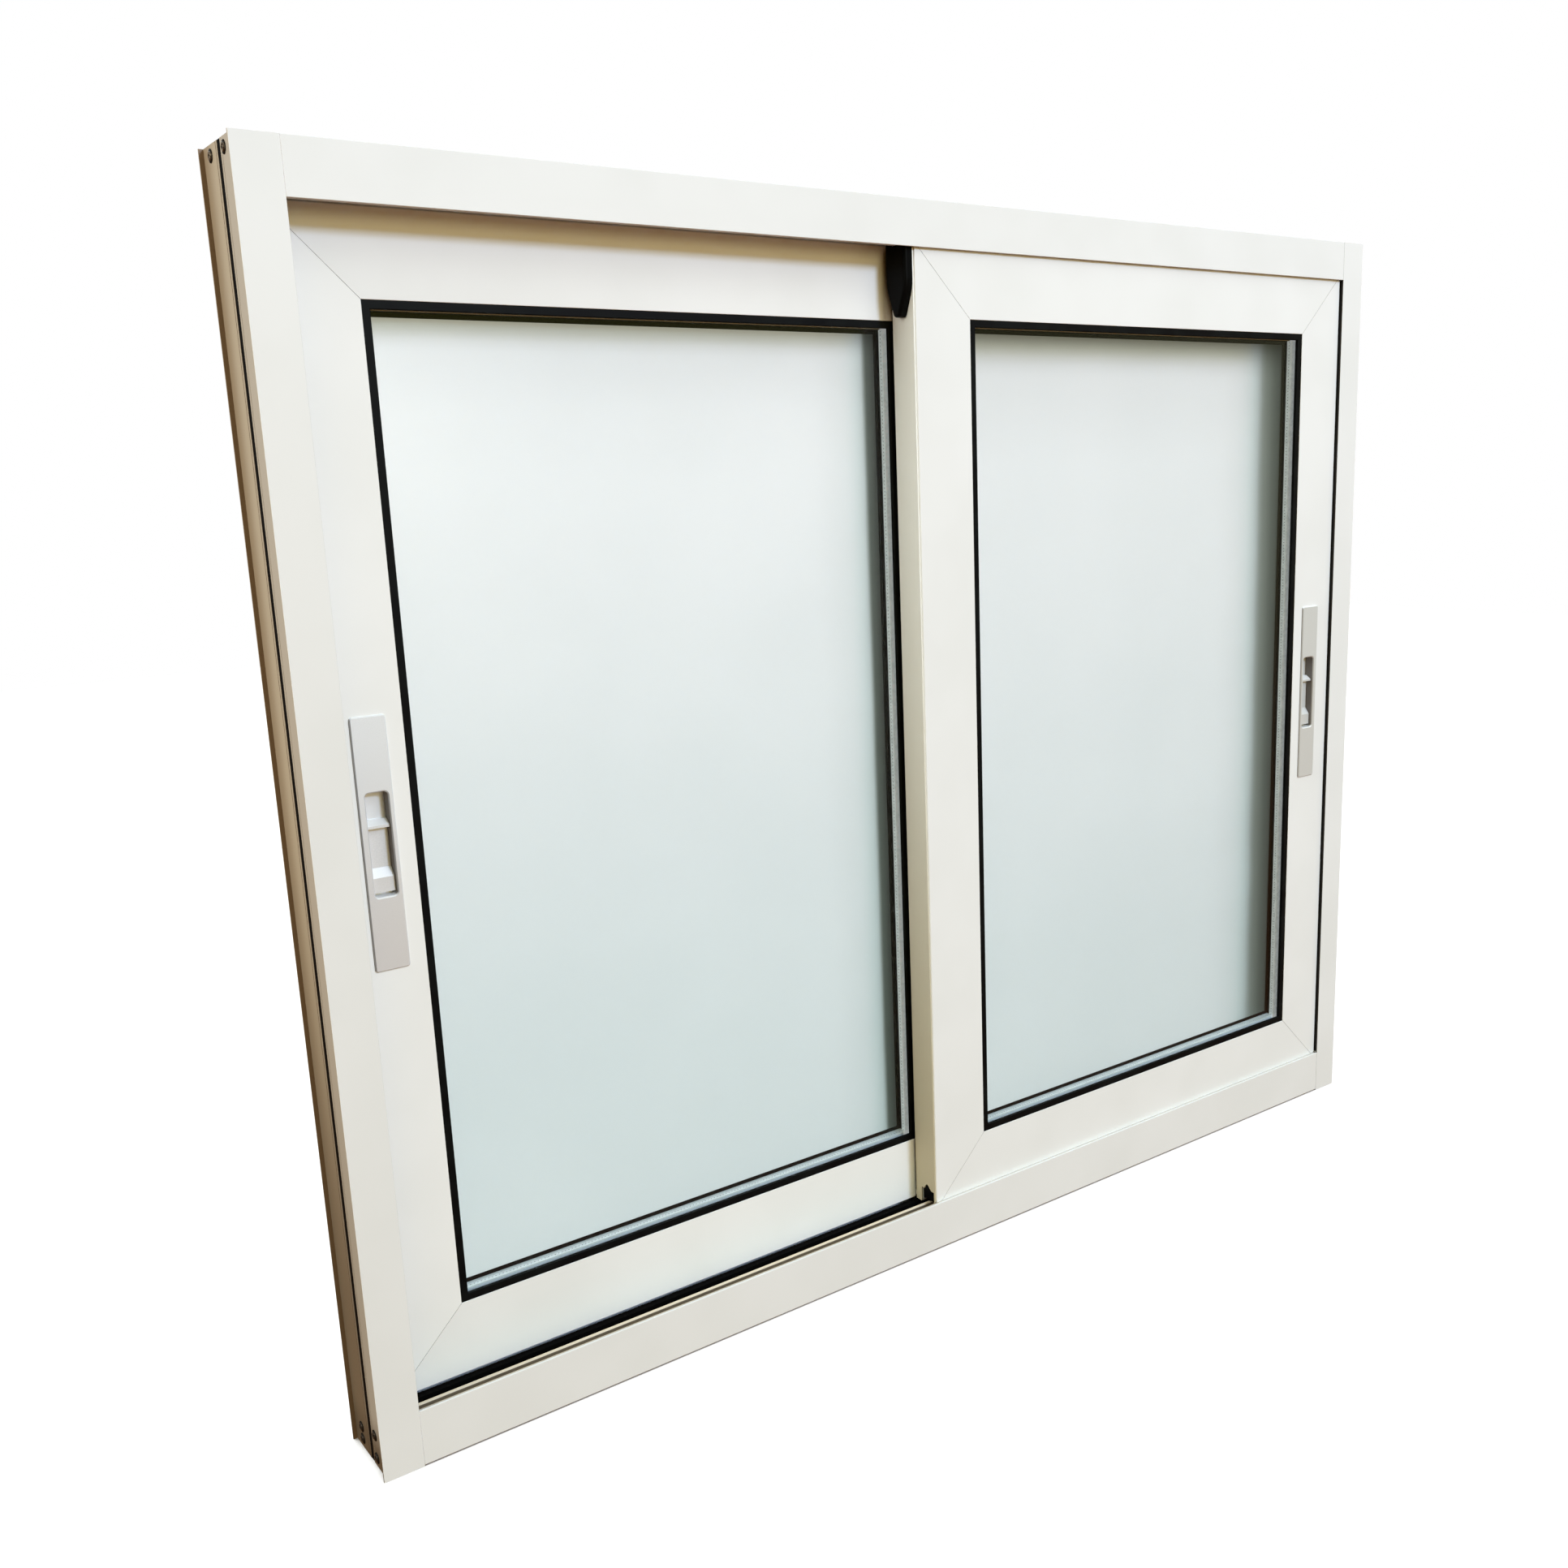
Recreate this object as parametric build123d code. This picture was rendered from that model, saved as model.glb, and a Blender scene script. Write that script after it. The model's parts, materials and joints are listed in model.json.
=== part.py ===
"""Two-sash sliding window in white aluminium, seen from the room.

Millimetres, +Z up. The window stands in the XZ plane: +X runs to the right as seen from the room,
+Y runs out of doors. The origin is on the underside of the sill, at the middle of its room-side seat.
"""
from build123d import *
import os

# Overall frame
WIDTH = 1200.0
HEIGHT = 988.0
DEPTH = 73.5

# Extruded frame members: two hollow halves joined by polyamide strips
PLATE = 1.6
WALL = 1.5
FIN = 3.3
JAMB_FACE = 33.0
HEAD_FACE = 39.0
SILL_FACE = 47.5
JAMB_FLOOR = 18.0
HEAD_FLOOR = 21.5
SILL_FLOOR = 31.0
SILL_STEP = 9.5
SILL_LIFT = 1.3
BREAK_WIDTH = 7.2
BREAK_SHIFT = 1.95
BREAK_STRIP = 1.8
BREAK_RECESS = 0.3
CRIMP_INSET = 3.1
CRIMP_WIDTH = 0.9
CRIMP_DEEP = 0.9
RAIL_STEM = 1.6
RAIL_BULB = 3.2
SILL_RAIL = 41.7
HEAD_RAIL = 36.5

# Screw ports in the ends of the head and sill
PORT_RADIUS = 3.0
PORT_BORE = 1.7
PORT_SLIT = 1.2
PORT_HIGH = 7.0
PORT_DROP = 3.7
FRONT_PORT = 23.0
REAR_PORT = 17.7

# Black strip that covers the break between the two sill tracks
TRACK_COVER_GAP = 1.5
TRACK_COVER_WALL = 1.6

# Sashes: mitred hollow bars
SASH_FACE = 63.0
SASH_SETBACK = 4.5
SASH_GAP = 2.5
HEAD_LAP = 5.0
SILL_LAP = 7.0
JAMB_LAP = 7.0
MEETING_LAP = 56.0
REAR_EXTRA = 4.8
AJAR = 6.5
GROOVE = 11.0
GROOVE_DEEP = 16.0
POCKET = 49.0
LIP = 1.5
FACE_ROUND = 1.2
EDGE_ROUND = 0.4
MITRE_GAP = 0.2

# Double glazing
PANE = 5.0
GLASS_EDGE = 53.0
GLASS_SET = 4.5
GASKET_ROOT = 57.0
GASKET_SIGHT = 6.5
GASKET_SET = 0.5
GASKET_NOSE = 0.8
GASKET_UNDERCUT = 1.2
GASKET_TOE = 0.8
REAR_GASKET = 2.0
SEALANT_HIGH = 3.5
SEALANT_THICK = 0.6
BEAD_DEEP = 5.5
SPACER_HIGH = 7.0
SPACER_WALL = 0.6
BEAD_WALL = 1.2
BEAD_SLOPE = 2.5

# Cover, seal block and notched foot of the meeting stiles
COVER = 1.2
COVER_SETBACK = 1.5
NOTCH_FRONT = 3.5
NOTCH_REAR = 22.8
NOTCH_HIGH = 15.5
NECK_PLACE = 14.2
NECK_CROWN = 2.0
NECK_FRONT_RUN = 5.5
NECK_REAR_RUN = 3.4
NECK_HIGH = 20.7
PLUG_SET = 1.3
PLUG_LIFT = 3.3
PLUG_HIGH = 32.0
GUIDE_CLEAR = 1.5
BLOCK_LONG = 62.0
BLOCK_WIDE = 28.0
BLOCK_TAPER = 25.0
BLOCK_TIP = 8.0
BLOCK_TIP_ROUND = 3.0
BLOCK_BEND = 34.0
BLOCK_PROUD = 8.5
BLOCK_ROUND = 3.0

# Flush pull with its latch slider
PULL_LONG = 197.0
PULL_WIDE = 27.5
PULL_PROUD = 1.6
PULL_CORNER = 2.6
PULL_BEVEL = 1.0
PULL_RIM = 0.9
PULL_CENTRE = 35.75
PULL_DOWN = 456.5
TRAY_LONG = 81.0
TRAY_WIDE = 17.5
TRAY_DEEP = 11.0
TRAY_WALL = 1.2
TRAY_CORNER = 3.0
TRAY_OFFSET = 0.9
LATCH_LONG = 54.0
LATCH_BASE = 2.0
LATCH_LEDGE = 4.0
LATCH_LEDGE_SET = 1.5
LATCH_FOOT = 11.5
LATCH_FOOT_SET = 2.5
LATCH_WEDGE = 7.0

# Rollers under the bottom rails
ROLLER_DIAMETER = 12.0
ROLLER_WIDE = 6.0
ROLLER_AXLE = 4.0
ROLLER_GROOVE = 1.2
ROLLER_FLOOR = 2.0
ROLLER_INSET = 85.0

# Pile strips between the frame's plates and the sashes, and between the two meeting stiles
PILE_HIGH = 4.5
PILE_INSET = 0.8
MEETING_PILE_CUT = 3.0

# Clearances
FIT = 0.15
RUN = 0.3

# Places that follow from the sizes above; depth is counted from the frame's room-side face
front_half = (DEPTH - BREAK_WIDTH) / 2 - BREAK_SHIFT
rear_half = DEPTH - front_half - BREAK_WIDTH
seat_depth = (PLATE + front_half) / 2
foot_z = -(SILL_LIFT + FIN)
top_z = foot_z + HEIGHT
sash_depth = (DEPTH - SASH_GAP) / 2 - SASH_SETBACK
sash_pitch = sash_depth + SASH_GAP
rail_depth = SASH_SETBACK + sash_depth / 2
sash_low = foot_z + SILL_LIFT + SILL_FACE - SILL_LAP
sash_high = top_z - HEAD_FACE + HEAD_LAP
guide_slot_low = top_z - HEAD_RAIL - GUIDE_CLEAR
guide_slot_half = RAIL_BULB / 2 + GUIDE_CLEAR
closed_edge = WIDTH / 2 - JAMB_FACE + JAMB_LAP
sash_wide = closed_edge + MEETING_LAP / 2 - COVER
sightline = SASH_FACE + GASKET_SIGHT
bead_front = sash_depth - BEAD_DEEP
rear_glass = bead_front - REAR_GASKET
rear_pane_front = rear_glass - PANE

FRONT, REAR = "front_sash", "rear_sash"
LEFT, RIGHT, UP, DOWN = (-1, 0, 0), (1, 0, 0), (0, 0, 1), (0, 0, -1)


def rect(x0, x1, y0, y1):
    """Rectangle between two corners of a section."""
    return Pos((x0 + x1) / 2, (y0 + y1) / 2) * Rectangle(x1 - x0, y1 - y0)


def round_corner(section, x, y, radius):
    """Fillet the section's corner nearest to a point."""
    corner = section.vertices().sort_by_distance(Vector(x, y, 0))[0]
    return fillet(corner, radius)


def bar(section, length):
    """Straight bar: a section of (depth, inward) extruded along its run."""
    return extrude(section, length)


def mitred(section, length, gap):
    """Bar whose ends are cut back at 45 degrees, each by a hairline gap."""
    piece = bar(section, length)
    piece = piece.split(Plane(origin=(0, 0, gap), z_dir=(0, -1, 1)), keep=Keep.TOP)
    return piece.split(Plane(origin=(0, 0, length - gap), z_dir=(0, -1, -1)), keep=Keep.TOP)


def along(corner, run, piece):
    """Lay a bar from a corner along its run, with depth on +Y and its inner side to the left."""
    return Plane(origin=corner, x_dir=(0, 1, 0), z_dir=run).location * piece


def ring_sides(x0, x1, y, z0, z1):
    """Name, start corner, run and length of the four sides of an upright rectangle."""
    return [
        ("bottom", (x0, y, z0), RIGHT, x1 - x0),
        ("right", (x1, y, z0), UP, z1 - z0),
        ("top", (x1, y, z1), LEFT, x1 - x0),
        ("left", (x0, y, z1), DOWN, z1 - z0),
    ]


def screw_port(x, y, slit):
    """Round port for a self-tapping screw, slit on its free side."""
    ring = Circle(PORT_RADIUS) - Circle(PORT_BORE)
    opening = Pos(0, slit * PORT_RADIUS) * Rectangle(PORT_SLIT, 2 * PORT_RADIUS)
    return Pos(x, y) * (ring - opening)


def half_section(depth, face, floor, rail=0.0, ports=()):
    """One half of a frame member: face plate with its fin, hollow body, and any rail and screw ports."""
    section = rect(0, PLATE, 0, face)
    section += rect(0, depth, FIN, floor)
    section -= rect(PLATE, depth - WALL, FIN + WALL, floor - WALL)
    crimp = depth - CRIMP_INSET
    section -= rect(crimp - CRIMP_WIDTH, crimp, FIN, FIN + CRIMP_DEEP)
    section = round_corner(section, 0, face, EDGE_ROUND)
    section = round_corner(section, 0, 0, EDGE_ROUND)
    if rail:
        bulb = rail - RAIL_BULB / 2
        section += rect(rail_depth - RAIL_STEM / 2, rail_depth + RAIL_STEM / 2, floor - WALL / 2, bulb)
        section += Pos(rail_depth, bulb) * Circle(RAIL_BULB / 2)
    for x, y, slit in ports:
        section += screw_port(x, y, slit)
    return section


def break_strips(floor):
    """Two polyamide strips that join the halves of a frame member."""
    y0, y1 = front_half, front_half + BREAK_WIDTH
    outer = rect(y0, y1, FIN + BREAK_RECESS, FIN + BREAK_RECESS + BREAK_STRIP)
    inner = rect(y0, y1, floor - BREAK_STRIP, floor)
    return [outer, inner]


def track_cover():
    """Black channel that stands on the sill's inner strip, between the two tracks."""
    top = SILL_FACE - SILL_LAP - TRACK_COVER_GAP
    y0, y1 = front_half, front_half + BREAK_WIDTH
    low = SILL_FLOOR - SILL_STEP
    shell = rect(y0, y1, low, top)
    return shell - rect(y0 + TRACK_COVER_WALL, y1 - TRACK_COVER_WALL, low, top - TRACK_COVER_WALL)


def rear_side(section):
    """Turn a room-side section round to the outdoor face."""
    return Pos(DEPTH, 0) * mirror(section, Plane.YZ)


def notched(piece, length, face):
    """Cut the face plates back at both ends, so that they butt against the jambs' plates."""
    back = JAMB_FACE - JAMB_FLOOR
    plate = PLATE + FIT
    for y in (plate / 2, DEPTH - plate / 2):
        for z in (back / 2, length - back / 2):
            piece -= Pos(y, face / 2, z) * Box(plate, face + 2 * FIN, back)
    return piece


def frame_nodes():
    """Head, sill and jambs, each as a room-side half, an outdoor half and the strips between them."""
    half_wide = WIDTH / 2
    jamb_section = half_section(front_half, JAMB_FACE, JAMB_FLOOR)
    jamb_rear = rear_side(half_section(rear_half, JAMB_FACE, JAMB_FLOOR))
    nodes = {}
    for side, x, run, z in (("left", -half_wide, DOWN, top_z), ("right", half_wide, UP, foot_z)):
        for half, section in (("front", jamb_section), ("rear", jamb_rear)):
            nodes[f"{side}_jamb_{half}"] = along((x, 0, z), run, bar(section, HEIGHT))
        strips = [bar(s, HEIGHT) for s in break_strips(JAMB_FLOOR)]
        nodes[f"{side}_jamb_break"] = along((x, 0, z), run, Compound(strips))
    end = half_wide - JAMB_FLOOR - FIT
    rows = (
        ("head", end, LEFT, top_z, HEAD_FACE, HEAD_FLOOR, 0.0, HEAD_RAIL),
        ("sill", -end, RIGHT, foot_z + SILL_LIFT, SILL_FACE, SILL_FLOOR, SILL_STEP, SILL_RAIL),
    )
    for name, x, run, z, face, floor, step, rail in rows:
        front_ports = [(FRONT_PORT, PORT_HIGH, 1)]
        rear_ports = [(REAR_PORT, PORT_HIGH, 1)]
        if name == "sill":
            front_ports.append((FRONT_PORT, floor - PORT_DROP, -1))
            rear_ports.append((REAR_PORT, floor - step - PORT_DROP, -1))
        front = half_section(front_half, face, floor, rail, front_ports)
        rear = rear_side(half_section(rear_half, face, floor - step, rail, rear_ports))
        for half, section in (("front", front), ("rear", rear)):
            piece = notched(bar(section, 2 * end), 2 * end, face)
            nodes[f"{name}_{half}"] = along((x, 0, z), run, piece)
        sections = break_strips(floor - step)
        if name == "sill":
            sections[1] += track_cover()
        nodes[f"{name}_break"] = along((x, 0, z), run, Compound([bar(s, 2 * end) for s in sections]))
    return nodes


def sash_section():
    """Hollow sash bar: track groove outside, chambers, and the front lip of the glazing pocket."""
    g0, g1 = (sash_depth - GROOVE) / 2, (sash_depth + GROOVE) / 2
    section = rect(0, sash_depth, 0, POCKET) + rect(0, LIP, 0, SASH_FACE)
    section = round_corner(section, 0, 0, FACE_ROUND)
    section = round_corner(section, 0, SASH_FACE, EDGE_ROUND)
    section -= rect(g0, g1, 0, GROOVE_DEEP)
    section -= rect(WALL, g0 - WALL, WALL, GROOVE_DEEP)
    section -= rect(g1 + WALL, sash_depth - WALL, WALL, GROOVE_DEEP)
    section -= rect(WALL, sash_depth - WALL, GROOVE_DEEP + WALL, POCKET - WALL)
    return section


def front_gasket_section():
    """Glazing gasket: root behind the lip, blunt nose nearly flush with it, undercut at the glass."""
    points = [
        (LIP, GASKET_ROOT),
        (GLASS_SET, GASKET_ROOT),
        (GLASS_SET, sightline - GASKET_UNDERCUT),
        (GLASS_SET - GASKET_UNDERCUT, sightline),
        (GASKET_SET, sightline),
        (GASKET_SET, SASH_FACE + FIT),
        (LIP, SASH_FACE + FIT),
    ]
    return round_corner(make_face(Polyline(*points, close=True)), GASKET_SET, sightline, GASKET_NOSE)


def rear_gasket_section():
    """Wedge gasket between the outer pane and the glazing bead."""
    points = [
        (rear_glass, GASKET_ROOT),
        (bead_front, GASKET_ROOT),
        (bead_front, SASH_FACE),
        (rear_glass + GASKET_TOE, sightline),
        (rear_glass, sightline),
    ]
    return make_face(Polyline(*points, close=True))


def sealant_section():
    """Line of black sealant on the outer pane's inner face, inside the spacer."""
    return rect(rear_pane_front - SEALANT_THICK, rear_pane_front, sightline, sightline + SEALANT_HIGH)


def spacer_section():
    """Thin channel between the panes, open towards the glass edge."""
    y0, y1 = GLASS_SET + PANE, rear_pane_front
    shell = rect(y0, y1, sightline - SPACER_HIGH, sightline)
    core = rect(y0 + SPACER_WALL, y1 - SPACER_WALL, sightline - SPACER_HIGH, sightline - SPACER_WALL)
    return shell - core


def bead_section():
    """Snap-in glazing bead on the outdoor side, sloped towards the glass."""
    root = POCKET + FIT
    points = [
        (bead_front, root),
        (sash_depth, root),
        (sash_depth, SASH_FACE - BEAD_SLOPE),
        (sash_depth - BEAD_SLOPE, SASH_FACE),
        (bead_front, SASH_FACE),
    ]
    outline = make_face(Polyline(*points, close=True))
    y0, y1 = bead_front + BEAD_WALL, sash_depth - BEAD_WALL
    return outline - rect(y0, y1, root, SASH_FACE - BEAD_SLOPE - BEAD_WALL)


def closed_ring(section, sides):
    """One ring of four bars joined at their mitres."""
    bars = [along(corner, run, mitred(section, length, 0.0)) for _, corner, run, length in sides]
    return bars[0].fuse(*bars[1:])


def pane(x0, x1, y, z0, z1, front):
    """Sheet of glass inside a sash, starting at a depth behind the sash face."""
    wide = x1 - x0 - 2 * GLASS_EDGE
    high = z1 - z0 - 2 * GLASS_EDGE
    return Pos((x0 + x1) / 2, y + front + PANE / 2, (z0 + z1) / 2) * Box(wide, PANE, high)


def beads(x0, x1, y, z0, z1):
    """Four square-cut beads: level ones right across, upright ones between them."""
    section = bead_section()
    root = POCKET + FIT
    deep = SASH_FACE - root + FIT
    pieces = []
    for side, corner, run, length in ring_sides(x0, x1, y, z0, z1):
        cut = root if side in ("bottom", "top") else root + deep
        start = Vector(*corner) + Vector(*run) * cut
        pieces.append(along(tuple(start), run, bar(section, length - 2 * cut)))
    return Compound(pieces)


def guide_slot(z1):
    """Slot in the top of a meeting stile's pieces, through which the head's guide rail passes."""
    middle = sash_depth / 2
    return rect(middle - guide_slot_half, middle + guide_slot_half, guide_slot_low, z1)


def side_plane(x, y):
    """Plane of a stile's edge, on which a section has depth and height."""
    return Plane(origin=(x, y, 0), x_dir=(0, 1, 0), z_dir=(1, 0, 0))


def foot_notch(z0, low, inset):
    """Notch at a meeting stile's foot, with a crooked neck on top; it can be drawn smaller by an inset."""
    shoulder, top = z0 + NOTCH_HIGH - inset, z0 + NECK_HIGH - inset
    front, rear = NOTCH_FRONT + inset, NOTCH_REAR - inset
    crown_front, crown_rear = NECK_PLACE - NECK_CROWN / 2, NECK_PLACE + NECK_CROWN / 2
    points = [
        (front, low),
        (front, shoulder),
        (crown_front - NECK_FRONT_RUN + inset, shoulder),
        (crown_front, top),
        (crown_rear, top),
        (crown_rear + NECK_REAR_RUN - inset, shoulder),
        (rear, shoulder),
        (rear, low),
    ]
    return make_face(Polyline(*points, close=True))


def meeting_cover(x, y, z0, z1, side):
    """Flat cover on a meeting stile's edge, notched at both ends to pass over the rails."""
    sheet = rect(COVER_SETBACK, sash_depth, z0, z1)
    return extrude(side_plane(x, y) * (sheet - foot_notch(z0, z0, 0.0) - guide_slot(z1)), side * COVER)


def foot_plug(x, y, z0, side):
    """Black plug in the groove of a meeting stile's foot, which shows through the notch."""
    low = z0 + PLUG_LIFT
    g0, g1 = (sash_depth - GROOVE) / 2, (sash_depth + GROOVE) / 2
    outline = foot_notch(z0, low, FIT) + rect(g0 + FIT, g1 - FIT, low, z0 + PLUG_HIGH)
    return extrude(side_plane(x - side * PLUG_SET, y) * outline, -side * (GROOVE_DEEP - PLUG_SET))


def seal_block(x, y, z1, side):
    """Black block with a tapered nose on the upper end of a meeting stile's cover."""
    half, tip = BLOCK_WIDE / 2, BLOCK_TIP / 2
    low = z1 - BLOCK_LONG
    bend = low + BLOCK_TAPER
    middle = sash_depth / 2
    points = [
        (middle - half, z1),
        (middle - half, bend),
        (middle - tip, low),
        (middle + tip, low),
        (middle + half, bend),
        (middle + half, z1),
    ]
    outline = make_face(Polyline(*points, close=True))
    for edge in (middle - half, middle + half):
        outline = round_corner(outline, edge, bend, BLOCK_BEND)
    for edge in (middle - tip, middle + tip):
        outline = round_corner(outline, edge, low, BLOCK_TIP_ROUND)
    upright = side_plane(x, y)
    block = extrude(upright * outline, side * BLOCK_PROUD)
    crown = block.faces().sort_by(Axis.X)[-1 if side > 0 else 0]
    return fillet(crown.edges(), BLOCK_ROUND) - extrude(upright * guide_slot(z1), side * BLOCK_PROUD)


def rollers(x0, x1, y):
    """Two grooved wheels on axles that span the bottom rail's groove, just clear of the sill rail."""
    rim, floor, axle = ROLLER_DIAMETER / 2, ROLLER_DIAMETER / 2 - ROLLER_GROOVE, ROLLER_AXLE / 2
    z = foot_z + SILL_LIFT + SILL_RAIL + RUN + floor
    end, half = GROOVE / 2 - FIT, ROLLER_WIDE / 2
    mouth = RAIL_BULB / 2 + RUN
    right_half = [
        (floor, ROLLER_FLOOR / 2),
        (rim, mouth),
        (rim, half),
        (axle, half),
        (axle, end),
        (0, end),
    ]
    left_half = [(r, -w) for r, w in reversed(right_half)]
    roller = revolve(make_face(Polyline(*left_half, *right_half, close=True)), Axis.Y)
    places = (x0 + ROLLER_INSET, x1 - ROLLER_INSET)
    return Compound([Pos(x, y + sash_depth / 2, z) * roller for x in places])


def pull_plate(x, y, z, mirror_x):
    """Flush pull: bevelled plate with a finger tray sunk into the stile, its rim bevelled too."""
    face = Plane(origin=(x, y, z), x_dir=(1, 0, 0), z_dir=(0, -1, 0))
    plate = extrude(face * RectangleRounded(PULL_WIDE, PULL_LONG, PULL_CORNER), PULL_PROUD)
    front = plate.faces().sort_by(Axis.Y)[0]
    plate = chamfer(front.edges(), PULL_BEVEL)
    offset = mirror_x * TRAY_OFFSET
    shell = Pos(offset, 0) * RectangleRounded(TRAY_WIDE + 2 * TRAY_WALL, TRAY_LONG + 2 * TRAY_WALL, TRAY_CORNER)
    hollow = Pos(offset, 0) * RectangleRounded(TRAY_WIDE, TRAY_LONG, TRAY_CORNER)
    plate += extrude(face * shell, -(TRAY_DEEP + TRAY_WALL - PULL_PROUD))
    plate -= extrude(face.offset(PULL_PROUD) * hollow, -TRAY_DEEP)
    rim = plate.faces().sort_by(Axis.Y)[0].inner_wires()[0]
    return chamfer(rim.edges(), PULL_RIM)


def latch_slider(x, y, z, mirror_x):
    """Slider at the foot of the tray: thin back, ledge above and wedge-topped block below."""
    floor = TRAY_DEEP - PULL_PROUD - FIT
    back = floor - LATCH_BASE
    low = -TRAY_LONG / 2 + TRAY_CORNER
    high = low + LATCH_LONG
    points = [
        (floor, low),
        (LATCH_FOOT_SET, low),
        (LATCH_FOOT_SET, low + LATCH_FOOT),
        (back, low + LATCH_FOOT + LATCH_WEDGE),
        (back, high - LATCH_LEDGE),
        (LATCH_LEDGE_SET, high - LATCH_LEDGE),
        (LATCH_LEDGE_SET, high - LATCH_LEDGE / 2),
        (back, high + LATCH_LEDGE / 2),
        (floor, high + LATCH_LEDGE / 2),
    ]
    wide = TRAY_WIDE - 2 * RUN
    side = Plane(origin=(x + mirror_x * TRAY_OFFSET - wide / 2, y, z), x_dir=(0, 1, 0), z_dir=(1, 0, 0))
    return extrude(side * make_face(Polyline(*points, close=True)), wide)


def tray_hole(x, y, z, mirror_x):
    """Cut-out in the stile's face for the pull's tray."""
    wide = TRAY_WIDE + 2 * TRAY_WALL + 2 * RUN
    high = TRAY_LONG + 2 * TRAY_WALL + 2 * RUN
    return Pos(x + mirror_x * TRAY_OFFSET, y, z) * Box(wide, 2 * WALL + RUN, high)


def sash_nodes(name, x0, x1, y, pull_side):
    """One glazed sash with its pull on one side and its meeting stile on the other."""
    z0, z1 = sash_low, sash_high
    sides = ring_sides(x0, x1, y, z0, z1)
    section = sash_section()
    labels = {"bottom": "bottom_rail", "right": "right_stile", "top": "top_rail", "left": "left_stile"}
    nodes = {}
    for side, corner, run, length in sides:
        nodes[f"{name}_{labels[side]}"] = along(corner, run, mitred(section, length, MITRE_GAP))
    pull_x = x0 + PULL_CENTRE if pull_side < 0 else x1 - PULL_CENTRE
    pull_at = (pull_x, y, z1 - PULL_DOWN, -pull_side)
    pull_stile, meeting_stile = f"{name}_right_stile", f"{name}_left_stile"
    meeting_x = x0
    if pull_side < 0:
        pull_stile, meeting_stile = meeting_stile, pull_stile
        meeting_x = x1
    nodes[pull_stile] -= tray_hole(*pull_at)
    notch = extrude(side_plane(meeting_x, y) * foot_notch(z0, z0, 0.0), pull_side * GROOVE_DEEP)
    nodes[meeting_stile] -= notch
    nodes[f"{name}_bottom_rail"] -= notch
    nodes[f"{name}_front_pane"] = pane(x0, x1, y, z0, z1, GLASS_SET)
    nodes[f"{name}_rear_pane"] = pane(x0, x1, y, z0, z1, rear_pane_front)
    nodes[f"{name}_spacer"] = closed_ring(spacer_section(), sides)
    nodes[f"{name}_front_gasket"] = closed_ring(front_gasket_section(), sides)
    rear_rings = [closed_ring(section, sides) for section in (rear_gasket_section(), sealant_section())]
    nodes[f"{name}_rear_gasket"] = Compound(rear_rings)
    nodes[f"{name}_beads"] = beads(x0, x1, y, z0, z1)
    nodes[f"{name}_meeting_cover"] = meeting_cover(meeting_x, y, z0, z1, -pull_side)
    block = seal_block(meeting_x - pull_side * COVER, y, z1, -pull_side)
    nodes[f"{name}_seal_block"] = Compound([block, foot_plug(meeting_x, y, z0, -pull_side)])
    nodes[f"{name}_rollers"] = rollers(x0, x1, y)
    nodes[f"{name}_pull"] = pull_plate(*pull_at)
    nodes[f"{name}_latch"] = latch_slider(*pull_at)
    return nodes


def pile_strips(front):
    """Pile strips behind the four plates of one face, clear of each other at the corners."""
    room = SASH_SETBACK - PLATE - FIT
    strips = []
    for side, corner, run, length in ring_sides(-WIDTH / 2, WIDTH / 2, 0, foot_z + SILL_LIFT, top_z):
        face = {"bottom": SILL_FACE, "top": HEAD_FACE}.get(side, JAMB_FACE)
        section = rect(PLATE, PLATE + room, face - PILE_INSET - PILE_HIGH, face - PILE_INSET)
        section = section if front else rear_side(section)
        ends = (JAMB_FACE, JAMB_FACE) if side in ("bottom", "top") else (SILL_FACE, HEAD_FACE)
        ends = ends if side != "left" else ends[::-1]
        start = Vector(*corner) + Vector(*run) * ends[0]
        strips.append(along(tuple(start), run, bar(section, length - sum(ends))))
    return strips


def meeting_pile(x):
    """Pile strip up the back of the front sash's meeting stile, against the rear sash."""
    y0 = SASH_SETBACK + sash_depth
    strip = rect(x, x + PILE_HIGH, y0, y0 + SASH_GAP - FIT)
    low, high = sash_low + MEETING_PILE_CUT, sash_high - MEETING_PILE_CUT
    return extrude(Plane.XY.offset(low) * strip, high - low)


def main():
    nodes = frame_nodes()
    front_edge = closed_edge - AJAR
    rear_edge = sash_wide + REAR_EXTRA - closed_edge
    nodes |= sash_nodes(FRONT, front_edge - sash_wide, front_edge, SASH_SETBACK, 1)
    nodes |= sash_nodes(REAR, -closed_edge, rear_edge, SASH_SETBACK + sash_pitch, -1)
    nodes["front_pile"] = Compound([*pile_strips(True), meeting_pile(front_edge - sash_wide)])
    nodes["rear_pile"] = Compound(pile_strips(False))
    os.makedirs("parts", exist_ok=True)
    for name, piece in nodes.items():
        export_step(Pos(0, -seat_depth, 0) * piece, f"parts/{name}.step")


main()
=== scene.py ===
import json
import math

import bmesh
import bpy
from mathutils import Matrix, Vector


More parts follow.
